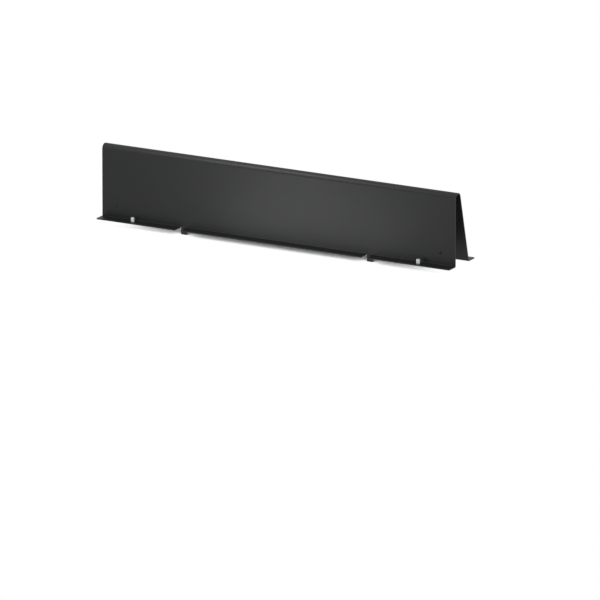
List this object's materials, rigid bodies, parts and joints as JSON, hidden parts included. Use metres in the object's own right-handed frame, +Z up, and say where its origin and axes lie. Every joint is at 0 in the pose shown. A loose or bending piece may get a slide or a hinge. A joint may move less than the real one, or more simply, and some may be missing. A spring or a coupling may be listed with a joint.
{
  "type": "rack partition panel",
  "caption": "Black folded-sheet partition panel for the top of an equipment rack, with an upright face, a rounded nose, a sloping back leg, hook tabs under its flanges and bright pins.",
  "frame": {"origin": "midway along the length and the depth, level with the feet of the hook tabs", "axes": "+X along the panel, the way the hooks' toes point; +Y from the upright front face to the sloping back leg; +Z up"},
  "size_m": [0.6, 0.08, 0.122],
  "materials": {
    "black_powder_coat": "satin black powder coat with a fine grain",
    "bright_zinc": "bright zinc plate"
  },
  "bodies": {
    "root": {"partition_panel": "black_powder_coat", "locating_pins": "bright_zinc"}
  },
  "joints": []
}
